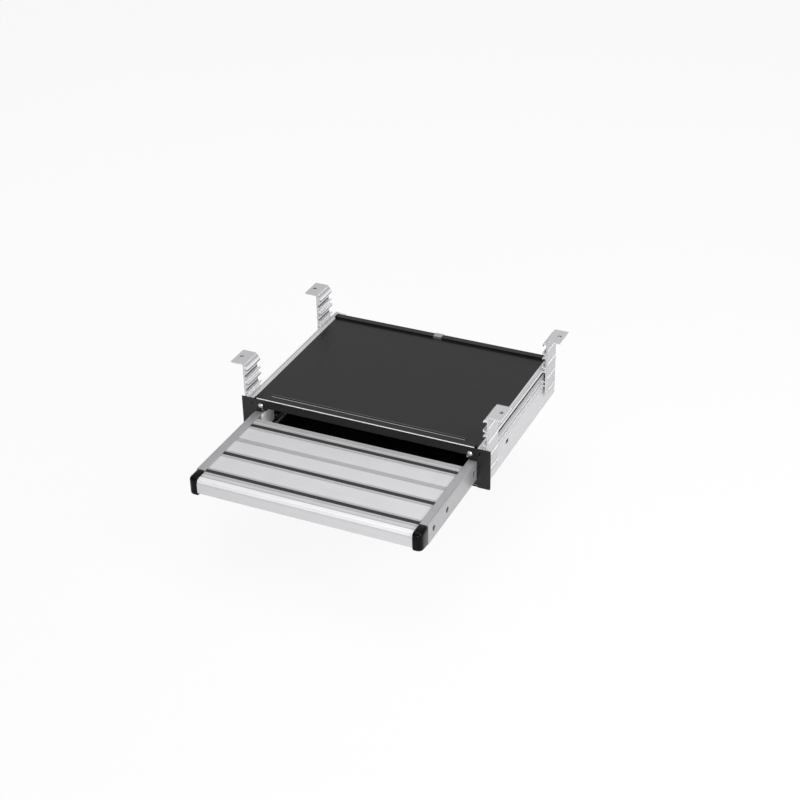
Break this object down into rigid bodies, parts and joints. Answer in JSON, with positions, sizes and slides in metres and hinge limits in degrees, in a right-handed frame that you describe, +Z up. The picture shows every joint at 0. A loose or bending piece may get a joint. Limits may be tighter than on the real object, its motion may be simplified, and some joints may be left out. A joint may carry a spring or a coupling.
{
  "type": "pull-out caravan step",
  "caption": "Pull-out entrance step: an aluminium tread on side arms that slides in and out of a flat under-floor case with height-setting brackets.",
  "frame": {"origin": "centre of the four floor bolt holes, on the top faces of the bracket flanges", "axes": "+X across the doorway, +Y under the vehicle (the step pulls out along -Y), +Z up; drawn fully extended"},
  "size_m": [0.662, 0.7525, 0.1859],
  "materials": {
    "mill_aluminium": "satin anodised extrusion",
    "tread_aluminium": "matt anodised extrusion",
    "black_steel": "satin black powder coat",
    "spring_steel": "bright zinc",
    "zinc_steel": "zinc plated",
    "tread_rubber": "ribbed matt rubber",
    "cap_plastic": "gloss black moulding",
    "guide_plastic": "black moulding",
    "white_nylon": "natural nylon"
  },
  "bodies": {
    "case": {"left_rail": "mill_aluminium", "right_rail": "mill_aluminium", "front_frame": "black_steel", "top_cover": "black_steel", "bottom_pan": "black_steel", "rear_crossbar": "black_steel", "rear_clip": "spring_steel", "corner_plugs": "cap_plastic", "crossbar_rivets": "black_steel", "pan_rivets": "black_steel", "left_front_bracket": "mill_aluminium", "left_rear_bracket": "mill_aluminium", "right_front_bracket": "mill_aluminium", "right_rear_bracket": "mill_aluminium", "bracket_screws": "zinc_steel", "frame_screws": "zinc_steel", "left_guide_block": "guide_plastic", "right_guide_block": "guide_plastic", "upper_glides": "guide_plastic", "stop_screw": "zinc_steel", "rear_buffers": "tread_rubber", "latch_catch": "spring_steel", "front_roller_pins": "zinc_steel"},
    "drawer": {"left_arm": "mill_aluminium", "right_arm": "mill_aluminium", "nose_profile": "tread_aluminium", "front_plank": "tread_aluminium", "rear_plank": "tread_aluminium", "front_insert": "tread_rubber", "middle_insert": "tread_rubber", "rear_insert": "tread_rubber", "left_cap": "cap_plastic", "right_cap": "cap_plastic", "arm_screws": "zinc_steel", "left_carriage": "guide_plastic", "right_carriage": "guide_plastic", "rear_tie": "black_steel", "tie_bolts": "zinc_steel", "carriage_screws": "zinc_steel", "striker": "spring_steel", "rear_roller_pins": "zinc_steel"},
    "left_front_roller": {"left_front_roller": "white_nylon"},
    "right_front_roller": {"right_front_roller": "white_nylon"},
    "left_rear_roller": {"left_rear_roller": "white_nylon"},
    "right_rear_roller": {"right_rear_roller": "white_nylon"}
  },
  "joints": [
    {"name": "step_slide", "type": "slide", "parent": "case", "child": "drawer", "axis": [0, 1, 0], "range_m": [0, 0.262]},
    {"name": "left_front_roller_spin", "type": "hinge", "parent": "case", "child": "left_front_roller", "pos_m": [-0.265, -0.1935, -0.1728], "axis": [1, 0, 0], "range_deg": [-2320, 10]},
    {"name": "left_rear_roller_spin", "type": "hinge", "parent": "drawer", "child": "left_rear_roller", "pos_m": [-0.265, -0.1135, -0.1258], "axis": [1, 0, 0], "range_deg": [-10, 1210]},
    {"name": "right_front_roller_spin", "type": "hinge", "parent": "case", "child": "right_front_roller", "pos_m": [0.265, -0.1935, -0.1728], "axis": [1, 0, 0], "range_deg": [-2320, 10]},
    {"name": "right_rear_roller_spin", "type": "hinge", "parent": "drawer", "child": "right_rear_roller", "pos_m": [0.265, -0.1135, -0.1258], "axis": [1, 0, 0], "range_deg": [-10, 1210]}
  ],
  "couplings": [
    {"joint": "left_front_roller_spin", "follows": "step_slide", "rad_per_m": -153.85},
    {"joint": "left_rear_roller_spin", "follows": "step_slide", "rad_per_m": 80},
    {"joint": "right_front_roller_spin", "follows": "step_slide", "rad_per_m": -153.85},
    {"joint": "right_rear_roller_spin", "follows": "step_slide", "rad_per_m": 80}
  ]
}
